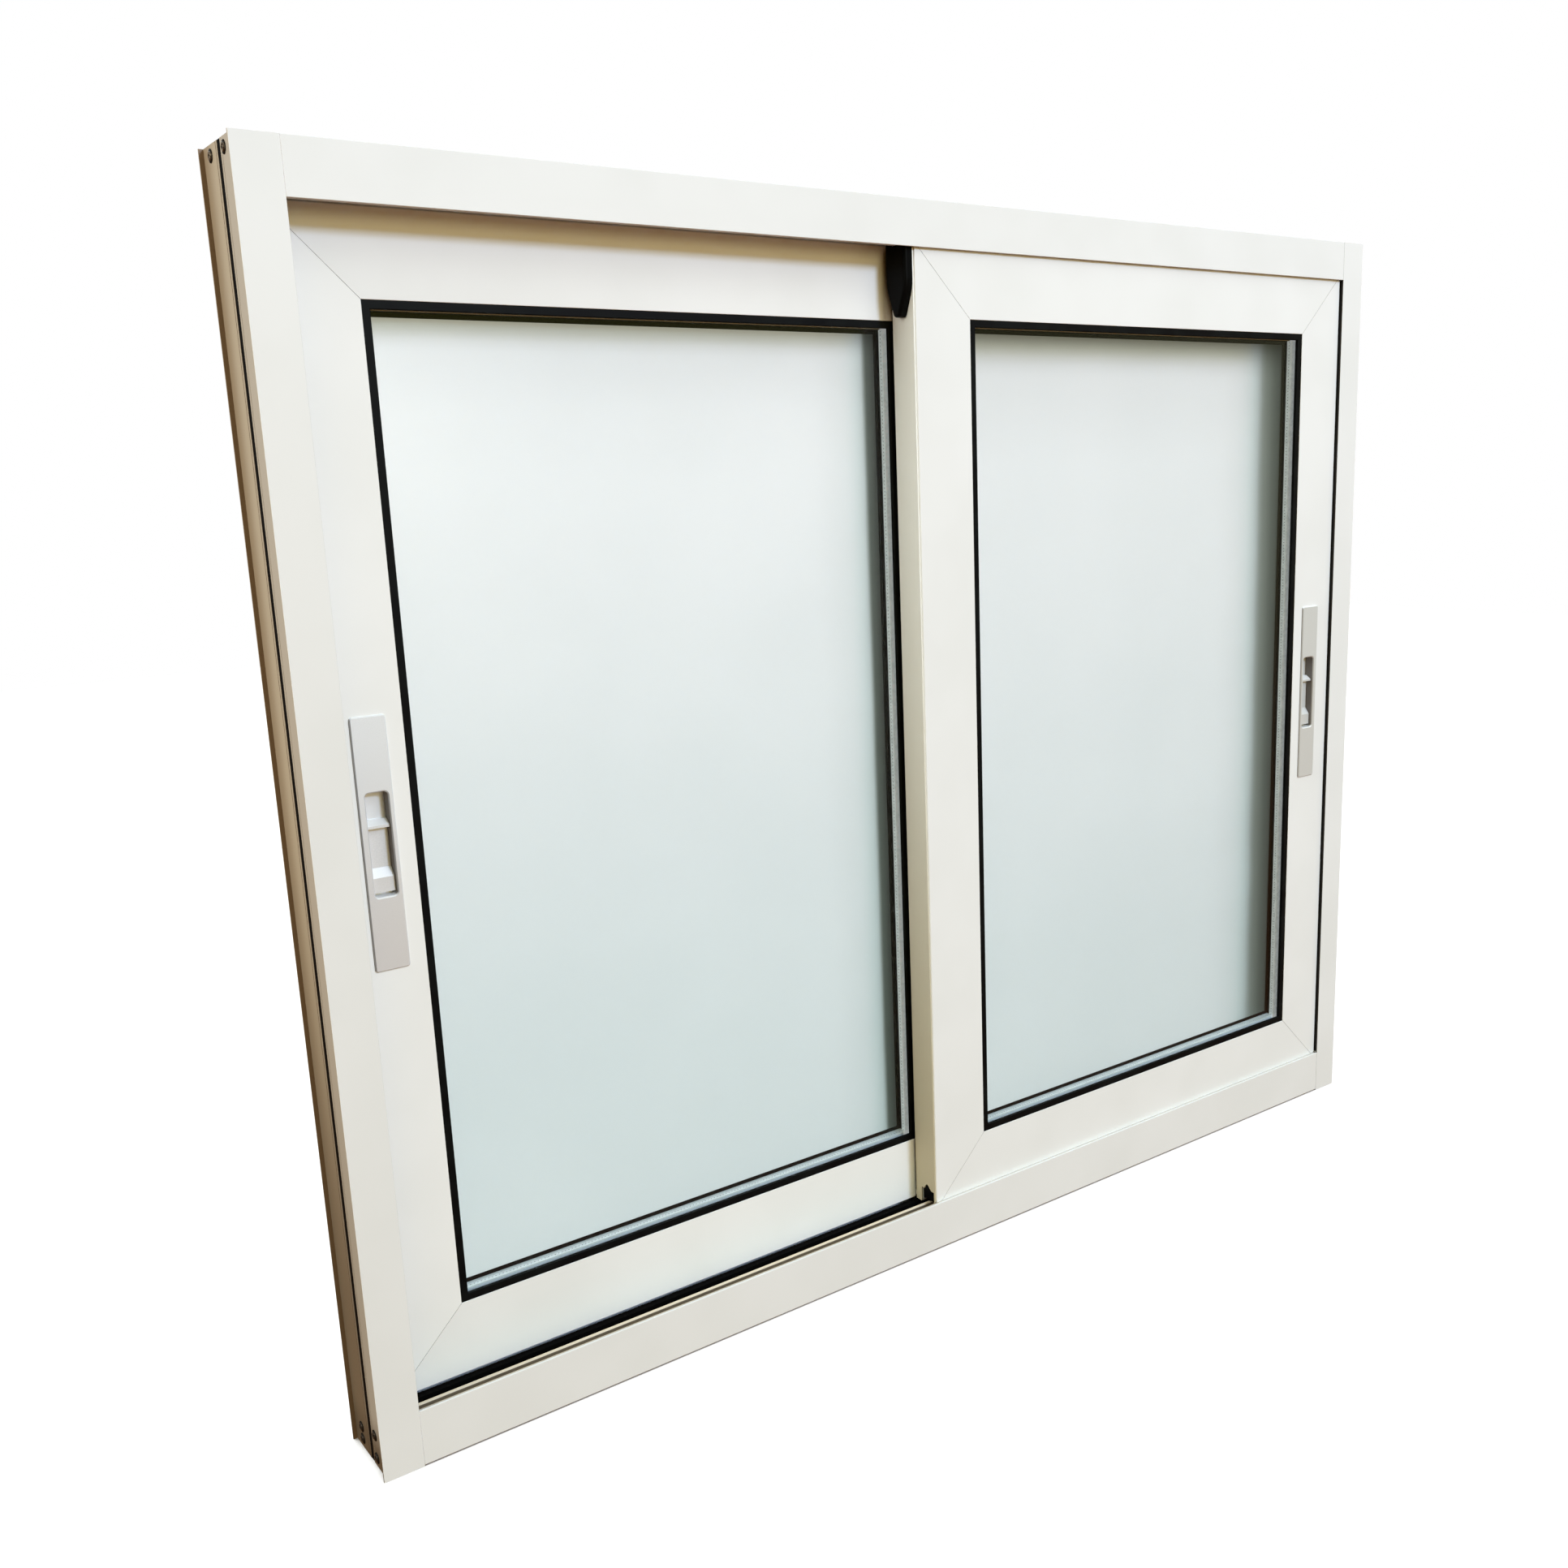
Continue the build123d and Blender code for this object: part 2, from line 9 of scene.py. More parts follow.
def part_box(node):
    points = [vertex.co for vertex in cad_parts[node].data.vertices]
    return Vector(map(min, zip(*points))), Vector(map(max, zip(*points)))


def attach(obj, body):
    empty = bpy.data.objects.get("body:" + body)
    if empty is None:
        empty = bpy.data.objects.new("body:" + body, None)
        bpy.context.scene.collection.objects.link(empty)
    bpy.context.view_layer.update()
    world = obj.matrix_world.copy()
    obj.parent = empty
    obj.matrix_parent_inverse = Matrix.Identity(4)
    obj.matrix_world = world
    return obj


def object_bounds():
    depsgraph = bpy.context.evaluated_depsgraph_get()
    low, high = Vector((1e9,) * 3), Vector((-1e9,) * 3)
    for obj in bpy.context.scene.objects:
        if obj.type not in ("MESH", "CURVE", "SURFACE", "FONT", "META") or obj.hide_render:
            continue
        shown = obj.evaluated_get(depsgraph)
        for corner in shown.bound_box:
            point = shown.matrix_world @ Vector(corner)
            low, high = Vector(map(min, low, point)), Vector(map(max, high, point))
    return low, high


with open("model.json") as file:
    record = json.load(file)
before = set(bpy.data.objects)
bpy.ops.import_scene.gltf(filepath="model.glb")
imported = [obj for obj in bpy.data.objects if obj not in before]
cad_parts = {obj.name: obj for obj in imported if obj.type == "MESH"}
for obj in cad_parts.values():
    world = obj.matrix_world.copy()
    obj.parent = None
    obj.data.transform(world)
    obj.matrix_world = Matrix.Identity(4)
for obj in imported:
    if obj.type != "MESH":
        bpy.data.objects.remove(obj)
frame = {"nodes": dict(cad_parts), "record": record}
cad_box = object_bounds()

MM = 0.001
RECORD = frame["record"]
NODES = frame["nodes"]
SLOT_OF = {row["node"]: row["material_slot"] for row in RECORD["subparts"]}

# Camera, solved from the frame's corners in the photograph
CAMERA_PLACE = (-0.90412, -1.08673, 0.75330)
CAMERA_TURN = (77.397, 1.874, -37.030)
CAMERA_LENS = 34.63
CAMERA_SENSOR = 36.0
CAMERA_SHIFT = (-0.05224, 0.01787)
CAMERA_NEAR = 0.05

# Screws that hold the jambs to the head and the sill: their sizes, the share of a head's height that is
# upright, how far each is turned, in radians, and their places from the frame's room-side face and ends.
# Each head stands on a thin black disc, painted shade in its hole
SCREW_HEAD = 3.0 * MM
SCREW_DOME = 1.7 * MM
SCREW_CROSS = 0.75 * MM
SCREW_CROSS_LONG = 2.2 * MM
SCREW_CROSS_DEEP = 0.7 * MM
SCREW_NECK = 0.35
SCREW_SIDES = 40
DOME_STEPS = 8
FIRST_TURN = 0.5
NEXT_TURN = 1.1
HOLE_SHADE = 4.6 * MM
HOLE_SHADE_THICK = 0.4 * MM
HEAD_SCREW_DOWN = 7.0 * MM
SCREW_FRONT = 23.0 * MM
SCREW_REAR = 55.8 * MM
SILL_SCREWS_FRONT = (8.3 * MM, 28.6 * MM)
SILL_SCREWS_REAR = (8.3 * MM, 19.1 * MM)

# How far the web that the screws sit in lies behind the edges of the jamb's fins
FIN = 3.3 * MM

# How near two points of a screw have to be to count as one
WELD = 0.01 * MM

# Refraction of the clear glass
GLASS_INDEX = 1.5

# Powder coat: how pale it is on the front sash, on the rear sash and its left stile, painted paler there as
# painted light, where they lie deeper and get less light, and on the frame; and how strongly the ends of
# the head and the sill glow in the hairline seams beside the jambs, a painted glow, and its tint
SASH_WHITE = 0.845
REAR_SASH_LIT_WHITE = 0.885
REAR_STILE_LIT_WHITE = 0.925
FRAME_WHITE = 0.82
SEAM_GLOW = 0.42
SEAM_GLOW_TINT = (0.98, 0.99, 1.0)

# Size of the coat's orange peel and of its clouds, how near a wall has to be to shade it behind the frame's
# plates, and its painted shade: brown in tight corners and black deep in the gaps
PEEL = 1.6 * MM
CLOUD = 90 * MM
GAP_REACH = 14 * MM
PLATE = 1.6 * MM
CORNER_SHADE_BROWN = (0.16, 0.11, 0.06)
GAP_SHADE_BLACK = (0.006, 0.004, 0.003)

# Painted shade on the jambs' sides, brown: where it deepens, in depth from the frame's room-side face,
# where it darkens toward the foot, in height, and its tints
SIDE_SHADE_FROM = 22 * MM
SIDE_SHADE_DEEP = 46 * MM
SIDE_SHADE_END = 66 * MM
LOWER_SHADE_TOP = 560 * MM
LOWER_SHADE_FULL = 90 * MM
FOOT_SHADE_TOP = 45 * MM
FOOT_SHADE_FULL = 5 * MM
SIDE_SHADE_FRONT = (0.45, 0.40, 0.34)
SIDE_SHADE_REAR = (0.44, 0.365, 0.265)
SIDE_SHADE_EDGE = (0.33, 0.255, 0.175)
SIDE_SHADE_FRONT_LOW = (0.37, 0.33, 0.28)
SIDE_SHADE_REAR_LOW = (0.16, 0.12, 0.08)
FOOT_SHADE = (0.10, 0.075, 0.05)
FIN_SHADE = (0.25, 0.172, 0.108)
SIDE_SHADE_BLACK = (0.02, 0.015, 0.01)

# Dust in the sill's room-side track, in depth and in height: cream on the crest of its rail and brown lower
# down, dust and painted shade. Painted light and shade on the meeting stiles' covers, pale above and brown
# below, between two shares of the window's height. Height of the pile that dust lies on
TRACK_DEPTH = 6 * MM
TRACK_END = 33 * MM
TRACK_WALL = 3 * MM
CREST_LOW = 37.0 * MM
CREST_HIGH = 37.35 * MM
TRACK_SHADE_BROWN = (0.24, 0.185, 0.12)
CREST_CREAM = (0.84, 0.71, 0.51)
COVER_HIGH = 0.85
COVER_LOW = 0.05
COVER_LIT = (0.95, 0.95, 0.91)
COVER_SHADE_BROWN = (0.55, 0.485, 0.335)
DUST_HIGH = 46 * MM

# Spacer bars: pitch and size of their breather holes, the bright corner keys, how wide an upright bar is,
# the share of its depth past which black sealant covers it, and how strongly a side bar glows, a painted
# glow
HOLE_PITCH = 3.2 * MM
HOLE = 0.45 * MM
CORNER_KEY = 8 * MM
UPRIGHT_BAR = 10 * MM
SEALED_FROM = 0.6
SPACER_PAINTED_GLOW = 0.32

# How far a pane reaches under its rails, and the shade along the top and right of the satin panes:
# its reach, and stops of the share of that reach and of the light that is left there
GLASS_HOLD = 16.5 * MM
SHADE_REACH = 120 * MM
SHADE_TOP = {
    "front_sash_rear_pane": [
        (0.0, 0.12), (0.065, 0.26), (0.13, 0.48), (0.19, 0.68), (0.25, 0.82), (0.33, 0.91), (1.0, 1.0)],
    "rear_sash_rear_pane": [
        (0.0, 0.36), (0.05, 0.44), (0.10, 0.60), (0.15, 0.78), (0.21, 0.88), (0.6, 0.97), (1.0, 1.0)],
}
SHADE_RIGHT = {
    "front_sash_rear_pane": [
        (0.0, 0.05), (0.045, 0.10), (0.12, 0.17), (0.25, 0.30), (0.29, 0.41), (0.34, 0.64), (0.39, 0.75),
        (0.475, 0.88), (0.62, 0.95), (0.85, 1.0)],
    "rear_sash_rear_pane": [
        (0.0, 0.03), (0.05, 0.08), (0.078, 0.12), (0.105, 0.14), (0.118, 0.30), (0.132, 0.60),
        (0.155, 0.71), (0.19, 0.80), (0.24, 0.87), (0.31, 0.93), (0.60, 1.0)],
}

# Light from each side and from above and below, and what shows through the satin panes, linear
WORLD_LEFT = (0.14, 0.12, 0.10)
WORLD_RIGHT = (0.62, 0.57, 0.42)
WORLD_FRONT = (0.36, 0.33, 0.05)
WORLD_BACK = (0.80, 0.80, 0.80)
WORLD_ABOVE = (0.62, 0.67, 0.64)
WORLD_BELOW = (0.28, 0.12, 0.04)
BACKDROP_LOW = (0.88, 0.935, 0.93)
BACKDROP_HIGH = (1.28, 1.165, 1.175)

# Where these lights change, by the rise of the direction: below to level, level to above, and low to high
# through the panes
LEVEL_RISE = (-0.30, 0.05)
ABOVE_RISE = (0.2, 0.9)
BACKDROP_RISE = (-0.45, 0.10)

# Lamps: turn to the right of straight in front of the window and rise, in degrees, distance and width in
# metres, watts and tint
LAMPS = {
    "key": (12, 24.6, 5.0, 0.75, 98, (0.77, 1.015, 1.45)),
    "top": (18, 41, 3.0, 1.6, 18, (0.96, 1.0, 1.06)),
    "front": (4, 10, 5.0, 1.2, 60, (0.765, 0.65, 0.365)),
    "back": (180, 30, 5.0, 1.6, 96, (0.86, 1.02, 1.10)),
    "left": (-87, 20, 5.0, 1.6, 148, (1.0, 1.0, 0.89)),
}

# Floor: half its width, how near the frame has to be to shade it, its painted shade there, and how bright
# it is
FLOOR_REACH = 6.0
FLOOR_SHADE = 20 * MM
FLOOR_SHADE_BROWN = (0.07, 0.055, 0.04)
FLOOR_GLOW = 0.95


class Shade:
    """A socket in a node tree. Arithmetic on it adds Math nodes; node() adds any other node."""

    def __init__(self, tree, socket=None):
        self.tree = tree
        self.socket = socket

    def node(self, kind, settings=None, inputs=None, output=0):
        made = self.tree.nodes.new(kind)
        for name, value in (settings or {}).items():
            if name == "stops":
                set_stops(made.color_ramp, value)
            else:
                setattr(made, name, value)
        for key, value in (inputs or {}).items():
            if isinstance(value, Shade):
                self.tree.links.new(value.socket, made.inputs[key])
            else:
                made.inputs[key].default_value = value
        return Shade(self.tree, made.outputs[output])

    def math(self, operation, first, second=0.0):
        return self.node("ShaderNodeMath", {"operation": operation}, {0: first, 1: second})

    def __add__(self, other):
        return self.math("ADD", self, other)

    def __radd__(self, other):
        return self.math("ADD", other, self)

    def __sub__(self, other):
        return self.math("SUBTRACT", self, other)

    def __rsub__(self, other):
        return self.math("SUBTRACT", other, self)

    def __mul__(self, other):
        return self.math("MULTIPLY", self, other)

    def __rmul__(self, other):
        return self.math("MULTIPLY", other, self)

    def __truediv__(self, other):
        return self.math("DIVIDE", self, other)

    def at_least(self, other):
        return self.math("MAXIMUM", self, other)

    def at_most(self, other):
        return self.math("MINIMUM", self, other)

    def ramp(self, low, high):
        """0 below low, 1 above high, smooth between them."""
        settings = {"interpolation_type": "SMOOTHSTEP"}
        return self.node("ShaderNodeMapRange", settings, {0: self, 1: low, 2: high, 3: 0.0, 4: 1.0})

    def blend(self, first, second):
        """Colour that goes from first to second as this value goes from 0 to 1."""
        settings = {"data_type": "RGBA"}
        return self.node("ShaderNodeMix", settings, {0: self, 6: first, 7: second}, output=2)

    def stops(self, pairs):
        """Value read off straight lines between pairs of place and value."""
        return self.node("ShaderNodeValToRGB", {"stops": pairs}, {0: self})

    def axes(self):
        """The three parts of a vector."""
        split = self.node("ShaderNodeSeparateXYZ", None, {0: self}).socket.node
        return [Shade(self.tree, out) for out in split.outputs]


def set_stops(ramp, stops):
    """Give a colour ramp its stops: pairs of place and grey value."""
    while len(ramp.elements) < len(stops):
        ramp.elements.new(0.5)
    for element, (place, grey) in zip(ramp.elements, stops):
        element.position = place
        element.color = (grey, grey, grey, 1.0)


def colour(red, green, blue):
    """Colour with full alpha, from linear values."""
    return (red, green, blue, 1.0)


def new_material(name):
    """New material, a maker of nodes in its tree, and its surface shader."""
    material = bpy.data.materials.new(name)
    material.use_nodes = True
    tree = material.node_tree
    surface = next(n for n in tree.nodes if n.type == "BSDF_PRINCIPLED")
    return material, Shade(tree), surface


def set_values(surface, **values):
    """Set constants on the shader's own sockets; underscores stand for spaces."""
    for name, value in values.items():
        surface.inputs[name.replace("_", " ")].default_value = value


def feed(maker, surface, **links):
    """Link what varies over the surface."""
    for name, value in links.items():
        maker.tree.links.new(value.socket, surface.inputs[name.replace("_", " ")])


def place_on(maker):
    """Position on the part, in metres: every piece sits at the origin, so this is the part's own frame."""
    return maker.node("ShaderNodeTexCoord", output=3)


def noise(maker, place, size, detail=2.0, roughness=0.5):
    """Soft noise whose features are about size metres across, as a value from 0 to 1."""
    inputs = {"Vector": place, "Scale": 1.0 / size, "Detail": detail, "Roughness": roughness}
    return maker.node("ShaderNodeTexNoise", None, inputs)


def bump(maker, height, depth, strength=1.0):
    """Normal from a height of 0 to 1 that stands for depth metres."""
    return maker.node("ShaderNodeBump", None, {"Strength": strength, "Distance": depth, "Height": height})


def facing(maker):
    """The three parts of the surface's own normal, on the part."""
    return maker.node("ShaderNodeNewGeometry", output="Normal").axes()


def near_walls(maker, reach):
    """1 in the open, and less where other surfaces stand within reach."""
    return maker.node("ShaderNodeAmbientOcclusion", {"samples": 8}, {"Distance": reach}, output="AO")


def powder_coat(name, white, piece_shading=None, seam_glow=0.0):
    """White powder coat: fine orange peel and slight clouding, with painted shade, brown in tight corners
    and black deep in the gaps. white is how pale it is; the second argument adds one piece's painted light
    and shade, and the dust in the sill's track; the third is how strongly the bar's ends glow in the
    hairline seams beside them, a painted glow."""
    material, maker, surface = new_material(name)
    place = place_on(maker)
    peel = noise(maker, place, PEEL, 3.0, 0.55)
    cloud = noise(maker, place, CLOUD, 2.0)
    dull = colour(0.98 * white, 0.987 * white, 0.97 * white)
    bright = colour(1.015 * white, 1.022 * white, 1.01 * white)
    tint = cloud.ramp(0.3, 0.7).blend(dull, bright)
    if piece_shading:
        tint = piece_shading(maker, place, tint)
    depth = place.axes()[1]
    # Painted shade behind the frame's plates: brown where walls stand near, black deep in the gaps
    behind = (depth - cad_box[0][1]).at_most(cad_box[1][1] - depth).ramp(PLATE, 1.4 * PLATE)
    walls = near_walls(maker, GAP_REACH)
    open_sky = 1.0 - behind * (1.0 - walls)
    tint = open_sky.ramp(0.20, 0.42).blend(colour(*CORNER_SHADE_BROWN), tint)
    tint = open_sky.ramp(0.06, 0.22).blend(colour(*GAP_SHADE_BLACK), tint)
    set_values(surface, IOR=1.5, Specular_IOR_Level=0.18)
    # Painted glow on the bar's end faces, in the hairline seams beside the jambs
    if seam_glow:
        ends = (facing(maker)[0] * place.axes()[0]).ramp(0.2, 0.4)
        set_values(surface, Emission_Strength=seam_glow)
        feed(maker, surface, Emission_Color=ends.blend(colour(0, 0, 0), colour(*SEAM_GLOW_TINT)))
    feed(maker, surface, Base_Color=tint, Roughness=0.40 + 0.08 * peel)
    feed(maker, surface, Normal=bump(maker, peel, 0.02 * MM, 0.35))
    return material


def jamb_side_shade(maker, place, tint):
    """Painted shade on the sides of a jamb: brown, darker toward its outdoor half and its foot, and darkest
    on the fin there. The side that stands against a sash is painted black, as shade."""
    across, depth, up = place.axes()
    turned, inward, _ = facing(maker)
    inner = depth - cad_box[0][1]
    rear = inner.ramp(SIDE_SHADE_FROM, SIDE_SHADE_DEEP)
    side_shade = rear.blend(colour(*SIDE_SHADE_FRONT), colour(*SIDE_SHADE_REAR))
    side_shade = inner.ramp(SIDE_SHADE_DEEP, SIDE_SHADE_END).blend(side_shade, colour(*SIDE_SHADE_EDGE))
    side_shade_low = rear.blend(colour(*SIDE_SHADE_FRONT_LOW), colour(*SIDE_SHADE_REAR_LOW))
    side_shade = up.ramp(LOWER_SHADE_TOP, LOWER_SHADE_FULL).blend(side_shade, side_shade_low)
    side_shade = up.ramp(FOOT_SHADE_TOP, FOOT_SHADE_FULL).blend(side_shade, colour(*FOOT_SHADE))
    tint = (turned * turned).ramp(0.3, 0.8).blend(tint, side_shade)
    tint = (rear * inward.ramp(-0.3, -0.8)).blend(tint, colour(*FIN_SHADE))
    right = across.ramp(-0.1, 0.1)
    front = inner.ramp(TRACK_END + TRACK_WALL, TRACK_END)
    beside_sash = right * front + (1.0 - right) * (1.0 - front)
    dark = beside_sash * (turned * across).ramp(-0.2, -0.4)
    return dark.blend(tint, colour(*SIDE_SHADE_BLACK))


def cover_light_and_shade(maker, place, tint):
    """Painted light and shade on a meeting stile's cover: pale above, brown toward its foot."""
    height = place.axes()[2] / cad_box[1][2]
    return height.ramp(COVER_HIGH, COVER_LOW).blend(colour(*COVER_LIT), colour(*COVER_SHADE_BROWN))


def track_dust_and_shade(maker, place, tint):
    """Dust in the sill's room-side track: cream on the crest of its rail, and brown below it, dust and
    painted shade.
    """
    _, depth, up = place.axes()
    # Cream dust on the rail's crest; below it brown, dust and painted shade
    dust = up.ramp(CREST_LOW, CREST_HIGH).blend(colour(*TRACK_SHADE_BROWN), colour(*CREST_CREAM))
    inner = depth - cad_box[0][1]
    in_track = inner.ramp(TRACK_DEPTH, TRACK_DEPTH + MM) * inner.ramp(TRACK_END, TRACK_END - MM)
    return in_track.blend(tint, dust)


def black_polyamide():
    """Matt black glass-filled polyamide with fine drawn lines."""
    material, maker, surface = new_material("black_polyamide")
    grain = noise(maker, place_on(maker), 0.8 * MM, 2.0)
    tint = grain.blend(colour(0.001, 0.001, 0.001), colour(0.004, 0.0035, 0.003))
    set_values(surface, Specular_IOR_Level=0.03)
    feed(maker, surface, Base_Color=tint, Roughness=0.6 + 0.15 * grain)
    feed(maker, surface, Normal=bump(maker, grain, 0.05 * MM, 0.3))
    return material


def black_rubber():
    """Black rubber gasket with a soft bloom."""
    material, maker, surface = new_material("black_rubber")
    place = place_on(maker)
    bloom = noise(maker, place, 25 * MM, 3.0)
    grain = noise(maker, place, 0.6 * MM, 2.0)
    tint = bloom.ramp(0.35, 0.75).blend(colour(0.002, 0.002, 0.0025), colour(0.005, 0.006, 0.006))
    set_values(surface, Specular_IOR_Level=0.07)
    feed(maker, surface, Base_Color=tint, Roughness=0.45 + 0.15 * bloom)
    feed(maker, surface, Normal=bump(maker, grain, 0.03 * MM, 0.25))
    return material


def black_nylon():
    """Moulded black nylon: smooth, with a low sheen."""
    material, maker, surface = new_material("black_nylon")
    grain = noise(maker, place_on(maker), 0.9 * MM, 2.0)
    tint = grain.blend(colour(0.001, 0.001, 0.001), colour(0.003, 0.003, 0.003))
    set_values(surface, Specular_IOR_Level=0.04)
    feed(maker, surface, Base_Color=tint, Roughness=0.36 + 0.12 * grain)
    feed(maker, surface, Normal=bump(maker, grain, 0.03 * MM, 0.3))
    return material


def roller_nylon():
    """Off-white nylon wheel."""
    material, maker, surface = new_material("roller_nylon")
    grain = noise(maker, place_on(maker), 1.5 * MM, 2.0)
    tint = grain.blend(colour(0.62, 0.61, 0.57), colour(0.72, 0.71, 0.68))
    feed(maker, surface, Base_Color=tint, Roughness=0.45 + 0.1 * grain)
    return material


def satin_silver():
    """Satin metallic lacquer of the pulls: fine metal flake in a soft sheen, duller on the right pull.
    Painted
    light: paler and bluer toward the top, a painted highlight on faces turned up and painted shade on faces
    turned to the left.
    """
    material, maker, surface = new_material("satin_silver")
    place = place_on(maker)
    flake = noise(maker, place, 0.5 * MM, 2.0, 0.7)
    low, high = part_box("rear_sash_pull")
    # Painted light: paler and bluer toward the top
    height = place.axes()[2].ramp(low[2], high[2])
    dull = height.blend(colour(0.68, 0.67, 0.675), colour(0.73, 0.76, 0.805))
    bright = height.blend(colour(0.77, 0.76, 0.77), colour(0.82, 0.855, 0.905))
    tint = flake.ramp(0.35, 0.65).blend(dull, bright)
    tint = (0.8 * place.axes()[0].ramp(0.0, 0.1)).blend(tint, colour(0.67, 0.68, 0.655))
    across, _, up = facing(maker)
    # Painted highlight on faces turned up, painted shade on faces turned to the left
    tint = up.ramp(0.35, 0.85).blend(tint, colour(0.94, 0.94, 0.93))
    tint = across.ramp(-0.5, -0.9).blend(tint, colour(0.17, 0.15, 0.135))
    set_values(surface, Metallic=0.22, Specular_IOR_Level=0.5)
    feed(maker, surface, Base_Color=tint, Roughness=0.38 + 0.1 * flake)
    feed(maker, surface, Normal=bump(maker, flake, 0.02 * MM, 0.3))
    return material


def spacer_metal(node):
    """Mill-finish spacer bar: pale, a little streaky, with a row of breather holes and bright corner keys.
    The side faces, and the front faces of the upright bars, glow: a painted glow. Faces turned down are
    painted
    black: painted shade."""
    material, maker, surface = new_material(node + "_metal")
    place = place_on(maker)
    across, depth, up = place.axes()
    turned, inward, level = facing(maker)
    side = (turned * turned).ramp(0.3, 0.7)
    low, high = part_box(node)
    upright = (across - low[0]).at_most(high[0] - across).ramp(UPRIGHT_BAR, UPRIGHT_BAR - MM)
    # Painted glow on the side faces and on the front faces of the upright bars
    painted_glow = side.at_least(upright * inward.ramp(-0.3, -0.7))
    sealed = low[1] + SEALED_FROM * (high[1] - low[1])
    streak = noise(maker, place, 4 * MM, 3.0)
    tint = streak.ramp(0.3, 0.7).blend(colour(0.70, 0.74, 0.74), colour(0.86, 0.89, 0.89))
    from_end = (up - low[2]).at_most(high[2] - up)
    tint = from_end.ramp(CORNER_KEY, CORNER_KEY - MM).blend(tint, colour(0.96, 0.97, 0.97))
    along = up * side + across * (1.0 - side)
    step = maker.math("FRACT", along / HOLE_PITCH) - 0.5
    off = depth - (low[1] + sealed) / 2
    spot = step * step * HOLE_PITCH ** 2 + off * off
    tint = spot.ramp(1.6 * HOLE ** 2, 0.6 * HOLE ** 2).blend(tint, colour(0.20, 0.20, 0.20))
    # Black sealant on the rear of the side faces; faces turned down painted black as shade
    sealant_and_shade = (side * (depth - sealed).ramp(-0.3 * MM, 0.3 * MM)).at_least(level.ramp(-0.4, -0.9))
    tint = sealant_and_shade.blend(tint, colour(0.005, 0.005, 0.005))
    set_values(surface, Metallic=0.2, Emission_Strength=SPACER_PAINTED_GLOW)
    feed(maker, surface, Base_Color=tint, Roughness=0.42 + 0.15 * streak)
    feed(maker, surface, Emission_Color=painted_glow.blend(colour(0, 0, 0), tint))
    return material


def pile_strip():
    """Woven pile strip: dense short dark fibres, grey with dust along the sill and pale under the front
    sash."""
    material, maker, surface = new_material("pile_strip")
    place = place_on(maker)
    fibre = noise(maker, place, 0.35 * MM, 3.0, 0.7)
    across, _, up = place.axes()
    dust = up.ramp(DUST_HIGH, DUST_HIGH - 2 * MM)
    tint = fibre.ramp(0.3, 0.7).blend(colour(0.003, 0.003, 0.003), colour(0.02, 0.02, 0.019))
    grey = fibre.blend(colour(0.52, 0.45, 0.35), colour(0.70, 0.62, 0.50))
    sheltered = (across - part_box("front_sash_left_stile")[0][0]).ramp(0.0, 2 * MM)
    tint = dust.blend(tint, sheltered.blend(grey, colour(0.72, 0.69, 0.62)))
    set_values(surface, Roughness=0.95, Specular_IOR_Level=0.0)
    feed(maker, surface, Base_Color=tint, Normal=bump(maker, fibre, 0.2 * MM, 0.8))
    return material


def clear_glass():
    """Clear float glass: a mirror at a glance, faintly green, showing the spacer and the pane behind it."""
    material, maker, surface = new_material("clear_glass")
    inside = maker.node("ShaderNodeNewGeometry", output="Backfacing")
    bend = GLASS_INDEX - inside * (GLASS_INDEX - 1.0 / GLASS_INDEX)
    sheen = maker.node("ShaderNodeFresnel", None, {"IOR": bend})
    through = maker.node("ShaderNodeBsdfTransparent", None, {"Color": colour(0.955, 0.985, 0.98)})
    set_values(surface, Base_Color=colour(0.4, 0.42, 0.44), Roughness=0.015, Metallic=1.0)
    mirror = Shade(maker.tree, surface.outputs[0])
    mix = maker.node("ShaderNodeMixShader", None, {0: sheen, 1: through, 2: mirror})
    output = next(n for n in maker.tree.nodes if n.type == "OUTPUT_MATERIAL")
    maker.tree.links.new(mix.socket, output.inputs["Surface"])
    return material


def satin_glass(node):
    """Satin-etched outer pane: milky, pale blue-green, blurring what stands behind it.
    It is shaded along its top and right, where the frame keeps the light off it."""
    material, maker, surface = new_material(node + "_glass")
    place = place_on(maker)
    across, _, up = place.axes()
    etch = noise(maker, place, 0.7 * MM, 2.0)
    cloud = noise(maker, place, 160 * MM, 2.0)
    right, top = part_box(node)[1][0] - GLASS_HOLD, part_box(node)[1][2] - GLASS_HOLD
    waver = 1.0 + 0.16 * (cloud - 0.5)
    below = ((top - up) * waver / SHADE_REACH).stops(SHADE_TOP[node])
    beside = ((right - across) * waver / SHADE_REACH).stops(SHADE_RIGHT[node])
    tint = cloud.ramp(0.25, 0.75).blend(colour(0.91, 0.935, 0.945), colour(0.94, 0.96, 0.97))
    tint = below.ramp(0.3, 0.9).blend(colour(0.96, 0.97, 0.80), tint)
    tint = beside.ramp(0.75, 1.0).blend(colour(0.885, 0.985, 0.985), tint)
    tint = beside.ramp(0.1, 0.6).blend(colour(0.84, 0.97, 0.86), tint)
    tint = (below * beside).blend(colour(0, 0, 0), tint)
    set_values(surface, IOR=1.45, Transmission_Weight=0.85, Specular_IOR_Level=0.3)
    feed(maker, surface, Base_Color=tint, Roughness=0.26 + 0.06 * etch)
    feed(maker, surface, Normal=bump(maker, etch, 0.01 * MM, 0.2))
    return material


